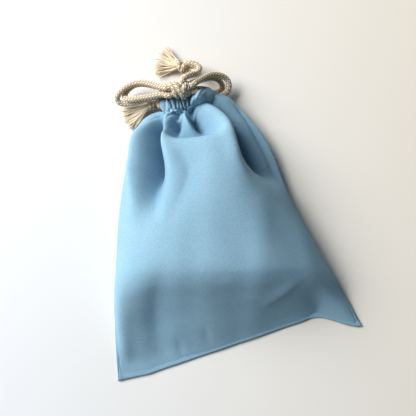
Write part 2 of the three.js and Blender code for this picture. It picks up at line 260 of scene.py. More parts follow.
cotton = woven_cotton("blue_twill", (0.34, 0.54, 0.66), (0.20, 0.385, 0.52))
thread = woven_cotton("blue_thread", (0.20, 0.37, 0.54), (0.12, 0.26, 0.40))
cord_finish = cord_cotton("braided_cotton", (0.95, 0.82, 0.63), (0.30, 0.215, 0.13), 0.0001)
yarn_finish = cord_cotton("frayed_cotton", (0.80, 0.68, 0.50), (0.40, 0.30, 0.19), 0.00005)


# --- Curves, grids and meshes ------------------------------------------------------------------------


def smoothstep(low, high, x):
    """0 below low, 1 above high, and 3s^2 - 2s^3 between."""
    s = np.clip((x - low) / (high - low), 0, 1)
    return s * s * (3 - 2 * s)


def spline(stops, values, x):
    """A cubic through (stops, values) whose slope at a stop is its neighbours' mean; level outside."""
    stops, values = np.asarray(stops, float), np.asarray(values, float)
    slopes = np.gradient(values, stops)
    x = np.clip(x, stops[0], stops[-1])
    i = np.clip(np.searchsorted(stops, x) - 1, 0, len(stops) - 2)
    width = stops[i + 1] - stops[i]
    s = (x - stops[i]) / width
    start = (1 + 2 * s) * (1 - s) ** 2 * values[i] + s * (1 - s) ** 2 * width * slopes[i]
    end = s * s * (3 - 2 * s) * values[i + 1] + s * s * (s - 1) * width * slopes[i + 1]
    return start + end


def lengths(route):
    """The distance along a route at each of its points."""
    steps = np.linalg.norm(np.diff(route, axis=0), axis=1)
    return np.concatenate([[0], np.cumsum(steps)])


def routed(points, spacing=0.32):
    """A smooth route through chosen points, walked in even steps."""
    points = np.asarray(points, float)
    steps = np.linalg.norm(np.diff(points, axis=0), axis=1) ** 0.5
    stops = np.concatenate([[0], np.cumsum(steps)])
    fine = np.linspace(0, stops[-1], 30 * len(points))
    curve = np.stack([spline(stops, points[:, k], fine) for k in range(3)], axis=1)
    distance = lengths(curve)
    even = np.linspace(0, distance[-1], int(distance[-1] / spacing) + 2)
    return np.stack([np.interp(even, distance, curve[:, k]) for k in range(3)], axis=1)


def grid_faces(rows, columns, wrap_rows=False, wrap_columns=False):
    """The quads between neighbours of a grid of points numbered row by row."""
    row, column = np.meshgrid(
        np.arange(rows if wrap_rows else rows - 1),
        np.arange(columns if wrap_columns else columns - 1),
        indexing="ij",
    )
    next_row, next_column = (row + 1) % rows, (column + 1) % columns
    corners = [
        row * columns + column,
        row * columns + next_column,
        next_row * columns + next_column,
        next_row * columns + column,
    ]
    return np.stack(corners, axis=-1).reshape(-1, 4)


def add_piece(name, points, faces, material, body, cloth=None, groove=None):
    """A smooth mesh piece that rides on a body, from points in laid-out millimetres."""
    mesh = bpy.data.meshes.new(name)
    mesh.from_pydata(to_metres(points).tolist(), [], [list(face) for face in faces])
    corner = np.empty(len(mesh.loops), int)
    mesh.loops.foreach_get("vertex_index", corner)
    if cloth is not None:
        layer = mesh.uv_layers.new(name="cloth")
        layer.data.foreach_set("uv", (np.asarray(cloth, float) / 100)[corner].ravel())
    if groove is not None:
        marks = mesh.attributes.new("groove", "FLOAT", "POINT")
        marks.data.foreach_set("value", np.asarray(groove, float).ravel())
    mesh.polygons.foreach_set("use_smooth", [True] * len(mesh.polygons))
    mesh.materials.append(material)
    mesh.update()
    piece = bpy.data.objects.new(name, mesh)
    bpy.context.collection.objects.link(piece)
    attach(piece, body)
    return piece


def thicken(piece, thickness):
    """Gives a sheet of cloth its thickness, inwards."""
    solid = piece.modifiers.new("thickness", "SOLIDIFY")
    solid.thickness = thickness / 1000
    solid.offset = -1


# --- Cords -------------------------------------------------------------------------------------------


def carried_frames(route, closed=False):
    """The tangent at each point of a route, and two directions square to it that don't twist."""
    if closed:
        tangent = np.roll(route, -1, axis=0) - np.roll(route, 1, axis=0)
    else:
        tangent = np.gradient(route, axis=0)
    tangent /= np.linalg.norm(tangent, axis=1, keepdims=True)
    first = np.cross(tangent[0], (0.31, 0.22, 0.93))
    normal = np.empty_like(route)
    normal[0] = first / np.linalg.norm(first)
    for i in range(1, len(route)):
        carried = normal[i - 1] - tangent[i] * np.dot(normal[i - 1], tangent[i])
        normal[i] = carried / np.linalg.norm(carried)
    if closed:
        other = np.cross(tangent[-1], normal[-1])
        gap = math.atan2(np.dot(normal[0], other), np.dot(normal[0], normal[-1]))
        turn = np.linspace(0, gap, len(route))[:, None]
        normal = normal * np.cos(turn) + np.cross(tangent, normal) * np.sin(turn)
    return tangent, normal, np.cross(tangent, normal)


def braid(distance, angle, pitch=2.7, plaits=6):
    """A round braid's height and tone, each from 0 to 1: two families of plaits wind opposite ways, each a
    rounded band, and pass over and under each other in turn. The tone is painted shade: higher, for a darker
    colour, where the braid is low, and on one family, which catches less light."""
    around = plaits * angle / TURN
    one, two = distance / pitch + around, distance / pitch - around
    ridge_one = np.abs(np.sin(np.pi * one)) ** 1.3
    ridge_two = np.abs(np.sin(np.pi * two)) ** 1.3
    over = 0.5 + 0.5 * np.cos(np.pi * (np.floor(one) + np.floor(two)))
    high = over * ridge_one * (0.55 + 0.45 * ridge_two)
    high = high + (1 - over) * ridge_two * (0.55 + 0.45 * ridge_one)
    return high, 1 - high * (0.45 + 0.55 * over)


def tube(route, radius, sides=40, closed=False, squeeze=1.0, relief=0.5):
    """A braided cord along a route: points, faces and the tone of its braid, which is painted shade. Each ring
    stands square to the route, at the radius less the depth of the braid there."""
    route = np.asarray(route, float)
    _, normal, other = carried_frames(route, closed)
    distance = lengths(route)
    angle = np.linspace(0, TURN, sides, endpoint=False)
    high, tone = braid(distance[:, None], angle[None, :])
    reach = (np.broadcast_to(radius, len(route))[:, None] - relief * (1 - high))[..., None]
    out = normal[:, None] * np.cos(angle)[:, None] + squeeze * other[:, None] * np.sin(angle)[:, None]
    points = route[:, None] + out * reach
    faces = grid_faces(len(route), sides, closed, True)[:, ::-1].tolist()
    if not closed:
        faces.append(list(range(sides)))
        faces.append(list(range(len(route) * sides - 1, (len(route) - 1) * sides - 1, -1)))
    return points.reshape(-1, 3), faces, tone.ravel()


def joined(parts):
    """Several (points, faces, groove) as one."""
    points, faces, grooves, start = [], [], [], 0
    for part_points, part_faces, groove in parts:
        points.append(part_points)
        grooves.append(groove)
        faces.extend([[start + corner for corner in face] for face in part_faces])
        start += len(part_points)
    return np.concatenate(points), faces, np.concatenate(grooves)


# Routes of the free cord, measured from the edge of the mouth, as the frame's own.
LEFT_LOOP_OUTER = [
    (-9.4, 5.1, 30), (-13, 6.9, 27.3), (-18, 10.9, 23.5), (-23.5, 14.9, 20), (-29, 17.9, 17),
    (-34.5, 18.9, 15), (-40, 18.4, 13.8), (-45, 16.9, 12.6), (-49, 14.9, 11), (-51.5, 11.9, 9.2),
    (-50.5, 8.9, 8), (-46.5, 6.9, 7.6), (-40.5, 5.9, 8.5), (-32.5, 5.4, 11), (-25, 4.9, 14.5),
    (-17.5, 4.9, 17.5), (-12.5, 4.6, 19.4), (-9.4, 3.1, 21),
]
LEFT_LOOP_INNER = [
    (-8.3, 7.5, 25.3), (-13, 9.2, 22), (-18.5, 11.9, 18.2), (-23.5, 15.4, 14.8), (-29.5, 18.4, 11.8),
    (-35, 19.4, 9.8), (-40, 18.2, 8.4), (-43.8, 15.6, 7.6), (-45.3, 12.4, 8.4), (-43.5, 9.2, 11.2),
    (-39.5, 7.4, 13.6), (-34.5, 6.4, 15.9), (-29, 5.4, 18.2), (-21, 3.9, 21.8), (-13.5, 2.4, 24.6),
    (-10.4, 0.3, 26.2),
]
RIGHT_LOOP_OUTER = [
    (10.9, 3.6, 30.4), (14.2, 5.9, 26.5), (19, 8.9, 22.5), (24.5, 11.2, 19), (29.5, 11.4, 16),
    (34.5, 9.9, 13), (37.5, 7.4, 11), (38.5, 3.9, 9.7), (37.5, 0.2, 8.8), (34, -2.6, 8.3),
    (29, -3.4, 8.3), (24.5, -1, 9), (20.5, 2.6, 10.5), (15.5, 3.6, 14), (11, 3.4, 18),
    (10.3, 3.3, 18.8),
]
RIGHT_LOOP_INNER = [
    (10.4, 6.3, 24.9), (13.5, 7.4, 21.3), (18.5, 9.4, 17.3), (24, 10.7, 13.5), (28.5, 10.4, 10.3),
    (31.8, 8.7, 7.3), (33.3, 5.7, 5), (32.8, 2.7, 3.6), (29.8, 0.9, 3), (25.5, 1.2, 2.9),
    (20.5, 3.4, 3.2), (15.5, 4.9, 6), (11, 5.4, 10), (8, 5, 15), (7.5, 4.7, 16.6),
]
UPPER_TAIL_OUTER = [
    (4.6, 9.2, 31.6), (9, 11, 29.5), (12.6, 12.4, 25.5), (15, 14.8, 19.5), (17.3, 18, 14.5),
    (18.2, 21.4, 11.6), (16.2, 24.6, 10.6), (13.2, 26.4, 10), (10.4, 27.6, 9.4),
]
UPPER_TAIL_INNER = [
    (3.8, 10.2, 27.6), (7, 12.4, 25), (10.2, 14.2, 20.5), (13, 16.5, 15), (14, 19.4, 9.2),
    (12.7, 21.8, 5.8), (10.3, 23.5, 5.1),
]
LOWER_TAIL_OUTER = [
    (-3.6, 7.6, 22.4), (-8, 8.8, 16.8), (-13, 9, 12.5), (-17.3, 8, 9.9), (-20.9, 5.7, 8.7),
]
LOWER_TAIL_INNER = [
    (-0.8, 8, 21.6), (-4.5, 10.4, 16), (-9.5, 11.2, 10.5), (-15, 10.6, 6), (-19, 9.2, 4.2),
    (-21.6, 7.8, 3.3),
]
LEFT_LEAD_FRONT = [
    (-18.8, -2.2, 13), (-19.2, 0.4, 13), (-16, 2.9, 13.2), (-11, 2.9, 13.6),
    (-5.5, 2.9, 15), (-1.5, 2.9, 18), (0.5, 2.4, 24),
]
LEFT_LEAD_BACK = [
    (-18.6, -2.3, 10.2), (-19, 0.2, 10.8), (-15.8, 2.8, 10.6), (-9, 2.9, 10.8),
    (-3.5, 2.9, 12), (0, 2.9, 16), (1.5, 2.4, 22),
]
RIGHT_LEAD_FRONT = [
    (15.8, -7.4, 18.6), (16.6, -5.6, 21.3), (15.2, -3.6, 24), (11.8, -1.8, 25.8), (6, -0.1, 27),
]
RIGHT_LEAD_BACK = [
    (17.6, -7.4, 16.6), (17.8, -5.2, 19.6), (15.4, -2.4, 22.2), (11.2, -0.8, 24.2), (5, 0.4, 26),
]


def from_mouth(points):
    """Points measured from the edge of the mouth, laid out from the bottom seam."""
    return np.asarray(points, float) + (0.0, MOUTH_EDGE, 0.0)


def free_cord(name, points, node, body, before, after):
    """A strand of the free cord, from inside the knot to where its far end is held."""
    route = routed(np.concatenate([[before], from_mouth(points), [after]]))
    points, faces, groove = tube(route, CORD_DIAMETER / 2)
    piece = add_piece(name, points, faces, cord_finish, body, groove=groove)
    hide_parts(node)
    return piece


K = KNOT_CENTRE
free_cord("left_loop_outer", LEFT_LOOP_OUTER, "left_loop", "left_bow_loop",
          K + (-5, 2.5, 2.5), K + (-5, 0.5, -3))
free_cord("left_loop_inner", LEFT_LOOP_INNER, "left_loop", "left_bow_loop",
          K + (-4.5, 3, -0.5), K + (-6.5, -1.2, 0))
free_cord("right_loop_outer", RIGHT_LOOP_OUTER, "right_loop", "right_bow_loop",
          K + (7, 0.5, 2.5), K + (5.5, 0.5, -3.5))
free_cord("right_loop_inner", RIGHT_LOOP_INNER, "right_loop", "right_bow_loop",
          K + (6, 3, -0.5), K + (4, 1, -5))
free_cord("upper_tail_outer", UPPER_TAIL_OUTER, "upper_tail", "upper_cord_end",
          K + (0.5, 3, 2.5), UPPER_END + (1.5, -0.5, 1.5))
free_cord("upper_tail_inner", UPPER_TAIL_INNER, "upper_tail", "upper_cord_end",
          K + (0.5, 3, -1), UPPER_END + (1.5, -1.5, -0.5))
free_cord("lower_tail_outer", LOWER_TAIL_OUTER, "lower_tail", "lower_cord_end",
          K + (1.0, 1.5, -1), LOWER_END + (1, 0.5, 1))
free_cord("lower_tail_inner", LOWER_TAIL_INNER, "lower_tail", "lower_cord_end",
          K + (2.5, 1.5, -2), LOWER_END + (1.5, 1.5, -1))


# --- The neck ----------------------------------------------------------------------------------------


def neck_loop(distance, outset):
    """The flattened loop round the neck by the distance from its left end: two straights and two half
    circles. Returns x and z of the points that lie outset beyond the cords' middle."""
    d = np.mod(distance, NECK_ROUND)
    quarter, half = math.pi / 2 * NECK_BEND, NECK_STRAIGHT / 2
    reach = NECK_BEND + outset
    first = math.pi - d / NECK_BEND
    right = math.pi / 2 - (d - quarter - NECK_STRAIGHT) / NECK_BEND
    last = -math.pi / 2 - (d - 3 * quarter - 2 * NECK_STRAIGHT) / NECK_BEND
    where = [
        d < quarter,
        d < quarter + NECK_STRAIGHT,
        d < 3 * quarter + NECK_STRAIGHT,
        d < 3 * quarter + 2 * NECK_STRAIGHT,
    ]
    x = np.select(
        where,
        [
            -half + reach * np.cos(first),
            d - quarter - half,
            half + reach * np.cos(right),
            half - (d - 3 * quarter - NECK_STRAIGHT),
        ],
        -half + reach * np.cos(last),
    )
    z = np.select(
        where,
        [reach * np.sin(first), reach, reach * np.sin(right), -reach],
        reach * np.sin(last),
    )
    return x, NECK_HEIGHT + z


def cord_in_casing(start, end, y):
    """The part of a cord that runs round the neck inside its casing."""
    distance = np.linspace(start, end, 160)
    x, z = neck_loop(distance, np.zeros_like(distance))
    return np.stack([x, np.full_like(x, y), z], axis=1)


def drawn_cord(name, node, front, back, start, end, y):
    """One cord: from the knot into the casing's slit, round the neck and out to the knot again."""
    lead_in = from_mouth(front)[::-1]
    run = cord_in_casing(start, end, y)[::6]
    route = routed(np.concatenate([lead_in, run, from_mouth(back)]))
    points, faces, groove = tube(route, CORD_DIAMETER / 2, 20)
    piece = add_piece(name, points, faces, cord_finish, "pouch", groove=groove)
    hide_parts(node)


drawn_cord("left_cord", "left_drawcord", LEFT_LEAD_FRONT, LEFT_LEAD_BACK,
           SLIT / 2 + 1.5, NECK_ROUND - SLIT / 2 - 1.5, CASING_MIDDLE + 2.5)
drawn_cord("right_cord", "right_drawcord", RIGHT_LEAD_BACK, RIGHT_LEAD_FRONT,
           RIGHT_SLIT + SLIT / 2 + 1.5, NECK_ROUND + RIGHT_SLIT - SLIT / 2 - 1.5, CASING_MIDDLE - 2.5)


def pleats(distance):
    """Height from 0 to 1 of the gathers round the neck: rounded ridges between narrow grooves, 3.1 mm
    apart, a little uneven."""
    wander = 0.9 * np.sin(distance * 0.31 + 1.0) + 0.5 * np.sin(distance * 0.83 + 0.4)
    return np.abs(np.sin(np.pi * (distance + wander) / 3.1)) ** 0.75


def casing(name, node, start, end, crumple):
    """The tunnel that the cords run in: a flat oval section, 11.3 mm along y, carried round the neck
    and pushed in and out by the gathers, more so at the mouth's edge."""
    rows, columns = int((end - start) * 7), 72
    distance = np.linspace(start, end, rows)[:, None]
    angle = np.linspace(0, TURN, columns, endpoint=False)[None, :]
    rounded = lambda wave, power: np.sign(wave) * np.abs(wave) ** power
    along = rounded(np.cos(angle), 0.55)
    outset = 3.3 * rounded(np.sin(angle), 0.75) + 0 * distance
    gather = pleats(distance)
    outer = smoothstep(-0.5, 0.9, np.sin(angle))
    edge = smoothstep(0.5, 1.0, along)
    stitched = np.exp(-(((along + 0.78) / 0.16) ** 2))
    outset = outset + (gather - 0.62) * (2.3 * outer + 0.9 * edge * (1 - outer))
    outset = outset - stitched * outer * 1.0
    bend = crumple * np.sin(distance * 1.7 + 2.0 * along) * outer
    y = CASING_MIDDLE + CASING_HALF * along + edge * (gather - 0.6) * 1.3 + 0.8 * bend
    x, z = neck_loop(distance + 0.5 * np.sin(along * 2.2 + distance * 0.9), outset + bend)
    points = np.stack([x, y + 0 * x, z], axis=-1)
    faces = grid_faces(rows, columns, False, True)
    cloth = np.stack([distance * 5 + 0 * angle, y + 0 * x], axis=-1).reshape(-1, 2)
    piece = add_piece(name, points.reshape(-1, 3), faces, cotton, "pouch", cloth)
    thicken(piece, CLOTH)
    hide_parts(node)
    return piece


casing("gathered_casing_front", "front_casing", SLIT / 2, RIGHT_SLIT - SLIT / 2, 0.25)
casing("gathered_casing_back", "back_casing", RIGHT_SLIT + SLIT / 2, NECK_ROUND - SLIT / 2, 0.2)


def crumpled_edge(name):
    """The mouth's frill beside the right slit, pushed up by the cord: a patch of cloth between two
    lines, 16 mm long, arched over the cord by a half sine, with ridges that fan out from the slit."""
    u = np.linspace(0, 1, 70)[:, None]
    v = np.linspace(0, 1, 60)[None, :]
    near_stops = [(4.4, 11.5, 21.4), (198.6, 198.4, 197.6), (20.8, 22.0, 17.5)]
    far_stops = [(9.0, 18.0, 28.0), (205.8, 210.4, 206.4), (22.5, 20.0, 13.5)]
    near, far = [[spline((0, 0.5, 1), stops, u) for stops in line] for line in (near_stops, far_stops)]
    x, y, z = [one + (other - one) * v for one, other in zip(near, far)]
    arch = np.sin(math.pi * v ** 0.8) * np.sin(math.pi * (0.15 + 0.85 * u) ** 0.9)
    ridges = np.sin(TURN * (2.4 * u + 0.35 * v) + 0.6) * (0.35 + 0.65 * v)
    ridges = ridges + 0.4 * np.sin(TURN * (4.6 * u - 0.8 * v))
    z = z + 8.4 * arch + 0.9 * ridges * np.sin(math.pi * u)
    y = y + 0.7 * np.sin(TURN * 3.1 * u + 1.2) * v
    points = np.stack([x, y, z], axis=-1)
    cloth = np.stack([x * 1.2, y * 1.2], axis=-1).reshape(-1, 2)
    faces = grid_faces(70, 60)
    piece = add_piece(name, points.reshape(-1, 3), faces, cotton, "pouch", cloth)
    thicken(piece, CLOTH)


crumpled_edge("crumpled_mouth_edge")


def casing_stitches(name, node, start, end):
    """The thread that closes the casing: it rides on the gathers, and dips into the cloth at the end
    of each 2.4 mm stitch."""
    distance = np.linspace(start + 0.4, end - 0.4, int((end - start) * 8))
    x, z = neck_loop(distance, 2.35 + (pleats(distance) - 0.62) * 2.3)
    y = CASING_MIDDLE - 0.78 * CASING_HALF + 0.15 * np.sin(distance * 2.1)
    route = np.stack([x, y, z], axis=1)
    walked = lengths(route)
    swell = 0.12 + 0.2 * np.abs(np.sin(np.pi * walked / 2.4)) ** 0.5
    points, faces, groove = tube(route, swell, 8, relief=0.0)
    cloth = np.stack([groove * 0, np.repeat(walked, 8)], axis=1)
    piece = add_piece(name, points, faces, thread, "pouch", cloth)
    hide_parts(node)


casing_stitches("casing_stitches_front", "front_casing_stitching", SLIT / 2, RIGHT_SLIT - SLIT / 2)
casing_stitches("casing_stitches_back", "back_casing_stitching", RIGHT_SLIT + SLIT / 2, NECK_ROUND - SLIT / 2)


# --- The cloth body ----------------------------------------------------------------------------------

RIDGE = 76.0  # where the filling's edge lifts the cloth; it slants, further up on the left
SHOULDER = 183.2  # from here the body rounds in to the neck
LEFT_CORNER = 100.0  # half the width at the bottom seam, on either side
RIGHT_CORNER = 99.6
# Past the shoulder: the share of the way to the neck, half the width, and how far the cloth swells
# towards the mouth there.
LEFT_SHOULDER = [
    (0, 47, 0), (0.2, 44.6, 1.2), (0.4, 40.6, 3.8), (0.55, 36, 5.6), (0.7, 31, 6.4), (0.82, 26.5, 6.6),
    (0.92, 22, 5.4), (0.97, 19.8, 3), (1, 18.6, 0),
]
RIGHT_SHOULDER = [
    (0, 47.4, 0), (0.2, 44.4, 2), (0.4, 40.6, 6), (0.55, 37, 9.2), (0.7, 32.4, 10.8), (0.82, 27, 12),
    (0.92, 21.5, 11.4), (0.97, 19.5, 7), (1, 18.6, 0),
]
BELLY = [
    (0, 1.5), (3, 2.6), (8, 4.6), (16, 8.6), (26, 13.8), (38, 20.8), (52, 31.6), (66, 43), (74, 47),
    (80, 48.2), (89, 48.8), (98, 49.1), (110, 49.4), (130, 49), (150, 46), (164, 42), (176, 36.5),
    (186, 30.5), (192, 26), (197, 20.6),
]

# Folds of the front: each is a line from its start to its end, and at each point a height, and a
# width on either side. Travelling down the pouch the first width is to the right, and travelling
# right it is towards the mouth.
FOLDS = [
    # the deep valley left of the middle, steep on its right
    [(-20, 201, -4, 3, 3), (-23.4, 192, -19, 2.5, 5.4), (-26.4, 184, -25, 3, 8), (-29, 175, -28, 3.4, 11),
     (-30.6, 167, -28, 4.2, 12), (-32.6, 159, -25, 6, 11), (-35.6, 151, -20, 8, 11), (-38.6, 143, -15, 9, 10),
     (-40, 134, -10, 8, 9), (-39.6, 124, -4, 6, 7), (-39, 117, 0, 5, 5)],
    # the deep valley right of the middle, steep on its left
    [(20, 200, -2, 3, 2.5), (29.6, 191, -7, 6, 3.4), (35.6, 181, -12, 8, 3.8), (38.4, 171, -15.5, 11, 4.4),
     (40, 160, -18.5, 15, 4.8), (43, 150.6, -19, 15, 5.6), (48, 142, -16, 13, 7), (54.6, 135.4, -10.6, 10, 8),
     (61, 131, -4.6, 8, 8), (67, 128, 0, 6, 6)],
    # the hollow under the gathers, with the lip of the belly as its lower edge
    [(-22, 190, -4, 8, 3), (-17, 184.6, -8, 11, 3.4), (-10, 180.6, -11.6, 13, 3.8), (2, 178, -12.4, 14, 4),
     (12, 176.6, -10.6, 13, 4), (20, 175.6, -6, 8, 4), (26, 177.4, -2, 4, 4), (29, 181, 0, 3, 3)],
    # the shallow valley down the belly
    [(-13, 170, 0, 6, 6), (-10, 159, -2.6, 8, 8), (-8, 148, -3.4, 9, 10), (-14, 135, -3, 10, 10),
     (-23, 123, -1.6, 9, 9), (-30, 112, 0, 8, 8)],
    # two slits between the gathers
    [(-3.4, 203, -3, 2, 2), (-5.6, 196, -10, 2.2, 2.8), (-8.4, 190, -9, 2.2, 3.4), (-12, 184, -2, 3, 4)],
    [(1.6, 202, -3, 2, 2), (2.4, 196, -11, 3, 2.2), (4.4, 190.4, -13, 4.6, 2), (8, 185, -9, 5, 2.4),
     (15, 179.6, -2, 4, 3)],
    # the ridge between them, and the lobes on either side, which run on as the belly's edges
    [(-1, 201, 2, 2.2, 2.2), (-1.4, 195, 4, 2.6, 2.6), (0, 187, 4.2, 3, 3), (4, 181, 1.2, 3.4, 3.4)],
    [(-12, 200, 1.5, 3, 3), (-16, 194, 3, 4, 4), (-20.6, 188, 4, 5, 3), (-23.4, 179, 3.4, 6, 2.6),
     (-24.4, 169, 2.6, 7, 2.6), (-25, 157, 1.6, 7, 3), (-26, 147, 0, 6, 4)],
    [(9, 200, 1.5, 3, 3), (18.6, 194, 3.4, 3.6, 7), (26.4, 186.6, 4.6, 4, 9), (30.4, 178, 5, 3.8, 9),
     (31.4, 168, 4.4, 3.6, 9), (30.8, 157, 4.4, 3.2, 8), (30, 147, 3, 4, 8),
     (31.6, 137, 1.8, 5, 8), (36, 127, 0, 5, 7)],
    # the left shoulder and the ridge that runs on down beside the valley
    [(-24, 197.5, 2, 2.4, 3), (-32, 193, 4.4, 3.4, 4), (-40, 187, 7.4, 5, 4.4), (-44, 179, 9.4, 6.4, 4.4),
     (-47.4, 166, 9.6, 7, 4.6), (-50.4, 150, 7.4, 7, 5), (-52.8, 134, 3.6, 6, 5), (-55, 120, 0, 5, 5)],
    # the facet that crosses the belly
    [(7, 168, 0, 10, 10), (15, 153, 1.4, 13, 14), (23, 132, 1.8, 16, 16), (30, 111, 1.6, 17, 18),
     (35, 96, 0, 12, 14)],
    # the margin outside the left end of the filling, which runs down to the corner
    [(-38, 86, 0, 16, 9), (-44, 77, -1.6, 18, 11), (-50.6, 64, -3.4, 21, 13), (-56, 50, -4.4, 22, 13.4),
     (-60, 36, -4.4, 22, 13), (-62, 22, -2.8, 18, 12), (-63, 10, -0.6, 10, 8)],
    [(-70, 96, 0, 6, 7), (-80, 70, 1.6, 7, 6), (-85, 48, 2.4, 7, 5), (-88, 28, 2.0, 6, 5), (-90, 12, 0, 6, 5)],
    # the right-hand ear, and a short pull towards the middle of the slope above it
    [(60, 60, 0, 8, 8), (70, 46, 1.2, 8, 8), (78, 31, 2.0, 8, 7), (87, 17, 2.2, 6, 6), (95, 5, 0.6, 4, 4)],
    [(66, 30, 0, 4, 5), (68, 22, -1.4, 4, 6), (66, 14, -1.2, 3, 5), (64, 9, 0, 3, 4)],
    [(56, 50, 0, 3, 5), (46, 46, 1.1, 3, 5), (34, 40, 1.0, 3, 5), (24, 36, 0, 3, 5)],
    # faint creases in the slope
    [(-46, 26, 0, 3, 4), (-45, 16, -0.8, 2.4, 4), (-46, 6, 0, 3, 4)],
    [(-24, 34, 0, 3, 4), (-22, 22, -0.6, 2.4, 4), (-24, 10, 0, 3, 4)],
]


def fold_height(x, y, stops):
    """The height that one fold adds at points (x, y): the greatest, over the points of its line, of the
    height there times exp(-(distance / width)^p). The width turns evenly from one side's to the other's
    with the bearing from the line. p is 2 for a ridge and 1.5 for a valley, which is sharper."""
    stops = np.asarray(stops, float)
    walk = np.linspace(0, len(stops) - 1, 8 * len(stops))
    line = np.stack([spline(np.arange(len(stops)), stops[:, k], walk) for k in range(5)], axis=1)
    direction = np.gradient(line[:, :2], axis=0)
    direction /= np.linalg.norm(direction, axis=1, keepdims=True)
    reach = 2.7 * stops[:, 3:].max()
    low, high = line[:, :2].min(axis=0) - reach, line[:, :2].max(axis=0) + reach
    inside = (x > low[0]) & (x < high[0]) & (y > low[1]) & (y < high[1])
    dx, dy = x[inside][:, None] - line[:, 0], y[inside][:, None] - line[:, 1]
    away = np.hypot(dx, dy) + 1e-6
    side = (direction[:, 0] * dy - direction[:, 1] * dx) / away
    width = line[:, 4] + (line[:, 3] - line[:, 4]) * (0.5 + 0.5 * side)
    sign = np.sign(stops[:, 2].sum())
    shape = np.abs(line[:, 2]) * np.exp(-((away / width) ** (2.0 if sign > 0 else 1.5)))
    total = 0 * x
    total[inside] = sign * shape.max(axis=1)
    return total


def seam_height(t):
    """The side seams' height above the table: up from the corners, and up again to the neck."""
    side = 1.5 + 8.5 * smoothstep(0, 0.45, t)
    return side + (NECK_HEIGHT - side) * smoothstep(0.7, 1, t)


def outline(t, across):
    """Half the width at t on the side that across is on. With s the share of the way to the shoulder,
    both sides taper evenly. The left swells by 7.1 sin(pi s) - 0.7 sin(2 pi s) + 0.9 sin(3 pi s), and
    the right is drawn in low down and swells high up, by -3.5 sin(2 pi s^2). Past the shoulder they
    round in to the neck."""
    s = np.clip(t * BODY_LENGTH / SHOULDER, 0, 1)
    past = shoulder_share(t)
    left_end, right_end = np.array(LEFT_SHOULDER).T, np.array(RIGHT_SHOULDER).T
    left = LEFT_CORNER + (left_end[1][0] - LEFT_CORNER) * s
    left = left + 7.1 * np.sin(math.pi * s) - 0.7 * np.sin(TURN * s) + 0.9 * np.sin(3 * math.pi * s)
    right = RIGHT_CORNER + (right_end[1][0] - RIGHT_CORNER) * s - 3.5 * np.sin(TURN * s * s)
    half_left = np.where(past > 0, spline(left_end[0], left_end[1], past), left)
    half_right = np.where(past > 0, spline(right_end[0], right_end[1], past), right)
    return np.where(across < 0, half_left, half_right)


def bottom_seam(x):
    """How far up the bottom seam is drawn: an even slope from near the left corner, which falls back
    to nothing over the last 40 mm before the right one."""
    return 0.109 * np.maximum(x + 74, 0) * (1 - smoothstep(60, 100, x))


def shoulder_share(t):
    """0 up to the shoulder, and 1 at the neck."""
    return np.clip((t * BODY_LENGTH - SHOULDER) / (BODY_LENGTH - SHOULDER), 0, 1)


def shoulder_puff(across, past):
    """How far the shoulders swell towards the mouth."""
    left_end, right_end = np.array(LEFT_SHOULDER).T, np.array(RIGHT_SHOULDER).T
    left, right = spline(left_end[0], left_end[2], past), spline(right_end[0], right_end[2], past)
    lift = np.where(across < 0, left, right)
    return lift * np.abs(across) ** 1.5


def body_grid(side, rows=230, columns=200):
    """The front (side 1) or back (side -1) of the filled pouch, before its folds. turn runs from one
    seam to the other and t from the bottom seam to the neck. x is the outline's half width times
    sin(turn). z falls from the belly's height to the seam's as a power of cos(turn), but stays level
    for longer over the filling's left end. Past the shoulder the cloth swells beyond the casing's
    stitch line, and the section turns into the neck's loop."""
    v = np.linspace(0, 1, rows)[:, None]
    t = 1 - (1 - v) ** 1.5
    turn = np.linspace(-1, 1, columns)[None, :] * side
    across, rise = np.sin(math.pi / 2 * turn), np.cos(math.pi / 2 * turn)
    half = outline(t, across)
    x = across * half
    drawn_in = bottom_seam(x) * (1 - t) ** 3
    y = t * BODY_LENGTH + drawn_in
    past = shoulder_share(t)
    puff = shoulder_puff(across, past)
    y = y + puff
    seam = seam_height(t)
    if side > 0:
        tilt = 0.19 * (x + 11) + 0.0005 * (x + 11) ** 2
        ridge = RIDGE - tilt
        up = y - puff - drawn_in * (1 - smoothstep(0, 0.22, t))
        above = RIDGE + (up - ridge) - tilt * smoothstep(90, 150, up)
        belly = spline(*np.array(BELLY).T, np.where(up < ridge, up * RIDGE / ridge, above))
        power = 2.0 - 0.85 * smoothstep(0.0, 0.2, t)
        boxy = 0.55 * smoothstep(0.04, 0.14, t) * (1 - smoothstep(0.32, 0.6, t)) * (1 - smoothstep(15, 60, x))
        profile = rise ** power
        profile = profile + (1 - (1 - rise) ** 2 - profile) * boxy
        z = seam + np.maximum(belly - seam, 0.4) * profile
    else:
        flat = 1 - np.maximum(0, 1 - 2.2 * rise) ** 2
        drop = flat + (rise - flat) * smoothstep(0.9, 1, t)
        low = 0.7 + (NECK_HEIGHT - NECK_BEND - 3.4) * smoothstep(0.9, 1, t)
        z = seam - (seam - low) * drop
    share = (turn + 1) / 2 * NECK_ROUND / 2 if side > 0 else NECK_ROUND - (turn + 1) / 2 * NECK_ROUND / 2
    loop_x, loop_z = neck_loop(np.clip(share, 1e-6, NECK_ROUND - 1e-6), 2.2 + 0 * share)
    into = smoothstep(0.78, 1, past)
    x = x + (loop_x - x) * into
    z = z + (loop_z - z) * into
    cloth = np.stack([turn * half + 0 * x, t * BODY_LENGTH * 1.05 + 0 * x], axis=-1)
    return np.stack([x, y + 0 * x, z], axis=-1), t, turn, share, cloth


def outward(points):
    """The unit normal of a grid of points, from the cross product of its two directions."""
    normal = np.cross(np.gradient(points, axis=1), np.gradient(points, axis=0))
    size = np.linalg.norm(normal, axis=-1, keepdims=True)
    return normal / np.maximum(size, 1e-9)


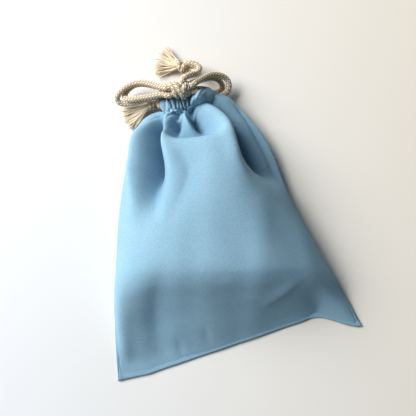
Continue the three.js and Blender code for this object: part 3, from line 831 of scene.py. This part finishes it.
def relaxed(points, times):
    """Each inner point moved to halfway between itself and the mean of its four neighbours."""
    for _ in range(times):
        mean = (points[:-2, 1:-1] + points[2:, 1:-1] + points[1:-1, :-2] + points[1:-1, 2:]) / 4
        points[1:-1, 1:-1] = (points[1:-1, 1:-1] + mean) / 2
    return points


def crumples(x, y, size, seed):
    """Small uneven waves: the sum of sines in several directions, mostly down the cloth."""
    draw = np.random.default_rng(seed)
    total = 0 * x
    for _ in range(9):
        angle, length, phase = draw.normal(0, 0.45), draw.uniform(14, 46), draw.uniform(0, TURN)
        total = total + np.sin(TURN * (x * np.cos(angle) + y * np.sin(angle)) / length + phase) * length / 46
    return total * size / 3


def cloth_panel(name, side, nodes):
    """The front or back of the pouch with its folds, and painted shade that darkens the deeper folds."""
    points, t, turn, share, cloth = body_grid(side)
    x, y = points[..., 0], points[..., 1]
    fade_edge = smoothstep(0, 0.12, 1 - np.abs(turn)) + 0 * x
    height = 0 * x
    if side > 0:
        for stops in FOLDS:
            height = height + fold_height(x, y, stops)
        height = height * fade_edge
        fine = smoothstep(0.955, 1.0, t) * (0.35 + 0.65 * smoothstep(3, -8, x))
        height = height * (1 - 0.7 * smoothstep(0.975, 1, t))
    else:
        fine = smoothstep(0.93, 1.0, t) + 0 * x
        gathers = np.cos(share * TURN / 13 + 0.7) * smoothstep(0.55, 0.95, t) * (1 - smoothstep(0.97, 1, t))
        height = gathers * 2.2 * fade_edge
    height = height + (pleats(share) - 0.62) * 2.3 * fine
    from_side = outline(t, turn) * (1 - np.abs(np.sin(math.pi / 2 * turn)))
    height = height - 0.4 * np.exp(-(((from_side - 2.4) / 0.7) ** 2)) * (1 - smoothstep(0.6, 0.8, t))
    from_bottom = t * BODY_LENGTH - 3.0
    height = height - 0.4 * np.exp(-((from_bottom / 1.3) ** 2)) * smoothstep(0, 0.1, 1 - np.abs(turn))
    height = height + crumples(x, y, 0.4 if side > 0 else 0.2, 3 + side) * fade_edge * (1 - fine)
    # painted shade: the deeper a fold, the more the cloth's colour is darkened there
    painted_shade_of_folds = np.clip(-height / 25, 0, 1) ** 0.8
    points = points + outward(points) * height[..., None]
    points = relaxed(points, 3)
    points[..., 2] = np.maximum(points[..., 2], 0.7 if side < 0 else 1.2)
    faces = grid_faces(*points.shape[:2])
    points, cloth = points.reshape(-1, 3), cloth.reshape(-1, 2)
    piece = add_piece(name, points, faces, cotton, "pouch", cloth, painted_shade_of_folds)
    thicken(piece, CLOTH)
    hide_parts(*nodes)
    return piece


cloth_panel("pouch_front", 1, ["front_panel"])
cloth_panel("pouch_back", -1, ["back_panel"])


def allowance(name, node, route, direction):
    """A turned-in seam allowance: two layers of cloth, 7 mm wide, that follow the seam inside."""
    share = np.linspace(0, 1, 9)[:, None, None]
    points = (route + share * direction * 7.0).transpose(1, 0, 2)
    faces = grid_faces(*points.shape[:2])
    cloth = points[..., :2].reshape(-1, 2)
    piece = add_piece(name, points.reshape(-1, 3), faces, cotton, "pouch", cloth)
    thicken(piece, 0.6)
    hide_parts(node)


t_side = np.linspace(0.1, 0.9, 60)
for name, sign in [("left_seam_allowance", -1), ("right_seam_allowance", 1)]:
    edge_x = sign * (outline(t_side, np.full(60, sign)) - 3.0)
    edge = np.stack([edge_x, t_side * BODY_LENGTH, seam_height(t_side)], axis=1)
    allowance("turned_" + name, name, edge[None], np.array([-sign, 0.0, 0.0]))
x_bottom = np.linspace(-26, 44, 80)
edge = np.stack([x_bottom, bottom_seam(x_bottom) + 5.0, 0 * x_bottom + 1.85], axis=1)
allowance("turned_bottom_seam_allowance", "bottom_seam_allowance", edge[None], np.array([0.0, 1.0, 0.0]))


# --- Knots and tassels -------------------------------------------------------------------------------


def ring(centre, radii, lean, tip, spin=0.0, count=96):
    """A closed loop of cord round a knot: an ellipse across x, leaning by an angle about z and
    tipped about y, with a little waviness."""
    angle = np.linspace(0, TURN, count, endpoint=False) + spin
    flat = np.stack([0.5 * np.sin(2 * angle), radii[0] * np.cos(angle), radii[1] * np.sin(angle)], axis=1)
    turn = np.array(Matrix.Rotation(lean, 3, "Z") @ Matrix.Rotation(tip, 3, "Y"))
    return np.asarray(centre) + flat @ turn.T


def ball(centre, radii, count=26):
    """The hidden middle of a knot: an ellipsoid with closed poles."""
    theta = np.linspace(0, math.pi, count)[1:-1, None]
    phi = np.linspace(0, TURN, count, endpoint=False)[None, :]
    across, up = np.sin(theta), np.cos(theta) + 0 * phi
    grid = np.stack([across * np.cos(phi), across * np.sin(phi), up], axis=-1)
    points = np.concatenate([grid.reshape(-1, 3), [[0, 0, 1], [0, 0, -1]]]) * radii + centre
    faces = grid_faces(count - 2, count, False, True)[:, ::-1].tolist()
    top, bottom = len(points) - 2, len(points) - 1
    last = (count - 3) * count
    faces += [[i, (i + 1) % count, top] for i in range(count)]
    faces += [[last + (i + 1) % count, last + i, bottom] for i in range(count)]
    # painted shade: the knot's hidden middle is given a dark tone all over
    return points, faces, np.full(len(points), 0.9)


def knot(name, node, body, centre, core, rings):
    """A tied knot: leaning loops of cord side by side round a hidden middle."""
    parts = [ball(centre, core)]
    for offset, radii, lean, tip, thick in rings:
        route = ring(np.asarray(centre) + offset, radii, math.radians(lean), math.radians(tip))
        parts.append(tube(route, thick, 36, closed=True))
    points, faces, groove = joined(parts)
    piece = add_piece(name, points, faces, cord_finish, body, groove=groove)
    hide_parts(node)
    return piece


knot("tied_bow_knot", "bow_knot", "pouch", KNOT_CENTRE, (7.5, 4.2, 3.6), [
    ((-6.2, 1.2, 0.0), (5.2, 4.0), 24, 8, 2.3),
    ((-2.4, 0.6, 0.4), (5.6, 4.3), 30, 4, 2.4),
    ((2.6, -0.6, 0.2), (5.0, 4.2), -28, -6, 2.4),
    ((6.2, -0.4, -0.4), (3.9, 3.6), -40, -12, 2.3),
])
knot("tied_upper_end_knot", "upper_end_knot", "upper_cord_end", UPPER_END, (2.8, 3.0, 2.6), [
    ((-2.2, 0.8, 0.0), (3.8, 3.1), 14, 0, 2.1),
    ((1.5, -0.6, 0.3), (4.0, 3.2), -34, 10, 2.1),
])
knot("tied_lower_end_knot", "lower_end_knot", "lower_cord_end", LOWER_END, (2.8, 3.0, 2.6), [
    ((-1.6, 0.2, 0.0), (3.2, 2.9), 18, 0, 2.0),
    ((1.5, 0.4, 0.1), (3.3, 2.9), -14, 8, 2.0),
])


def tassel(name, node, body, root, reach, middle, spread, count=84):
    """Frayed yarns: each leaves the knot and runs out on its own slightly wavy line, fanned over an
    angle, sinking to the table towards its tip."""
    share = np.linspace(0, 1, 22)[None, :]
    fan = math.radians(middle) + math.radians(spread) / 2 * np.linspace(-1, 1, count)
    fan = (fan + random.normal(0, 0.05, count))[:, None]
    long = (reach * random.uniform(0.8, 1.0, count))[:, None]
    start_angle = random.uniform(0, TURN, count)[:, None]
    start_reach = 2.1 * np.sqrt(random.uniform(0, 1, count))[:, None]
    wave = random.uniform(0.2, 0.9, count)[:, None]
    phase = random.uniform(0, TURN, (2, count))[..., None]
    rate = random.uniform(0.7, 1.6, count)[:, None]
    top = random.uniform(0.7, 4.1, count)[:, None]
    out = 3.0 + (long - 3.0) * share
    side = wave * np.sin(rate * share * TURN + phase[0]) * share
    side = side + start_reach * np.cos(start_angle) * (1 - share) ** 2
    x = root[0] + out * np.cos(fan) - side * np.sin(fan)
    y = root[1] + out * np.sin(fan) + side * np.cos(fan)
    z_start = root[2] - 0.6 + start_reach * np.sin(start_angle)
    z = z_start + (top - z_start) * smoothstep(0, 0.75, share)
    z = z + 0.25 * np.sin(rate * share * 9 + phase[1]) * share
    routes = np.stack([x, y, np.maximum(z, 0.7)], axis=-1)
    tangent = np.gradient(routes, axis=1)
    tangent /= np.linalg.norm(tangent, axis=-1, keepdims=True)
    level = np.cross(tangent, (0.0, 0.0, 1.0))
    level /= np.linalg.norm(level, axis=-1, keepdims=True)
    upright = np.cross(level, tangent)
    sides = 6
    angle = np.linspace(0, TURN, sides, endpoint=False)
    twist = angle[None, None] + share[..., None] * 9
    thick = (0.40 * (1 - 0.45 * share ** 6))[..., None, None] + 0 * twist[..., None]
    ring_points = level[:, :, None] * np.cos(twist)[..., None]
    ring_points = ring_points + upright[:, :, None] * np.sin(twist)[..., None]
    points = routes[:, :, None] + ring_points * thick
    per_yarn = 22 * sides
    one = grid_faces(22, sides, False, True)[:, ::-1]
    faces = (one[None] + per_yarn * np.arange(count)[:, None, None]).reshape(-1, 4).tolist()
    starts = per_yarn * np.arange(count)[:, None]
    faces += (starts + np.arange(sides)).tolist()
    faces += (starts + per_yarn - 1 - np.arange(sides)).tolist()
    # each yarn has a random tone of its own, plus painted shade that darkens it towards the knot, where the
    # yarns crowd together
    tone = random.uniform(0, 0.5, count)[:, None, None] + 0.45 * (1 - share[..., None]) ** 3 + 0 * twist
    points = points.reshape(-1, 3)
    piece = add_piece(name, points, faces, yarn_finish, body, groove=tone.ravel())
    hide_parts(node)
    return piece


tassel("frayed_upper_tassel", "upper_tassel", "upper_fringe", UPPER_END, 24.0, 150, 74)
tassel("frayed_lower_tassel", "lower_tassel", "lower_fringe", LOWER_END, 27.5, 196, 46)


# --- The table ---------------------------------------------------------------------------------------

floor_mesh = bpy.data.meshes.new("table")
corners = np.array([(-3, -3, 0), (3, -3, 0), (3, 3, 0), (-3, 3, 0)], float)
floor_mesh.from_pydata(corners.tolist(), [], [[0, 1, 2, 3]])
floor_mesh.materials.append(floor_surface())
floor = bpy.data.objects.new("table", floor_mesh)
bpy.context.collection.objects.link(floor)
